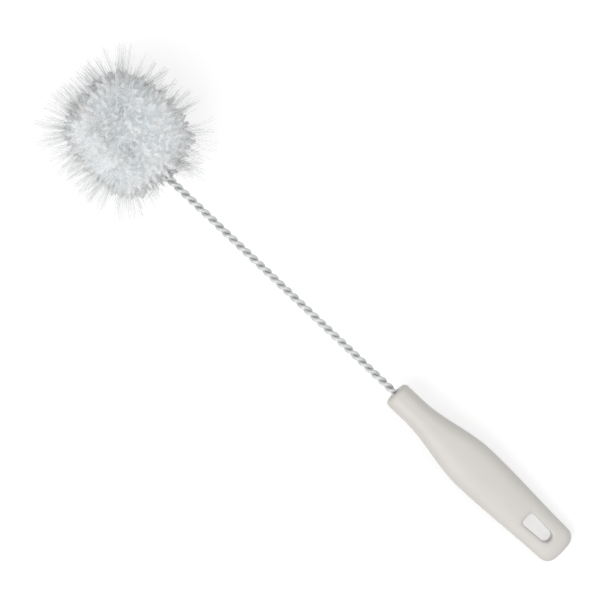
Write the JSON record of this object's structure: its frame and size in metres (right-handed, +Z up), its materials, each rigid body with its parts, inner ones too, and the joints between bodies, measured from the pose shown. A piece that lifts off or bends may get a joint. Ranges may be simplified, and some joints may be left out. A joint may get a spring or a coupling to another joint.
{
  "type": "bottle brush",
  "caption": "Bottle brush: a pale moulded handle with a hanging hole, and a twisted wire stem whose end is bent into a loop and carries a ball of clear nylon bristles.",
  "frame": {"origin": "bottom centre of the bounding box, with the brush lying on a surface", "axes": "+X along the brush towards the hanging hole, +Z up. The brush rests on its bristle tips and on the hanging end of the handle, so its length rises a few degrees towards the bristles"},
  "size_m": [0.3546, 0.0784, 0.0514],
  "materials": {
    "handle_plastic": "warm off-white moulded plastic with a soft sheen",
    "wire": "bright drawn steel wire, twisted",
    "bristle": "clear to milky nylon filament"
  },
  "bodies": {
    "root": {"handle": "handle_plastic", "twisted_wire": "wire", "bristles": "bristle"}
  },
  "joints": []
}
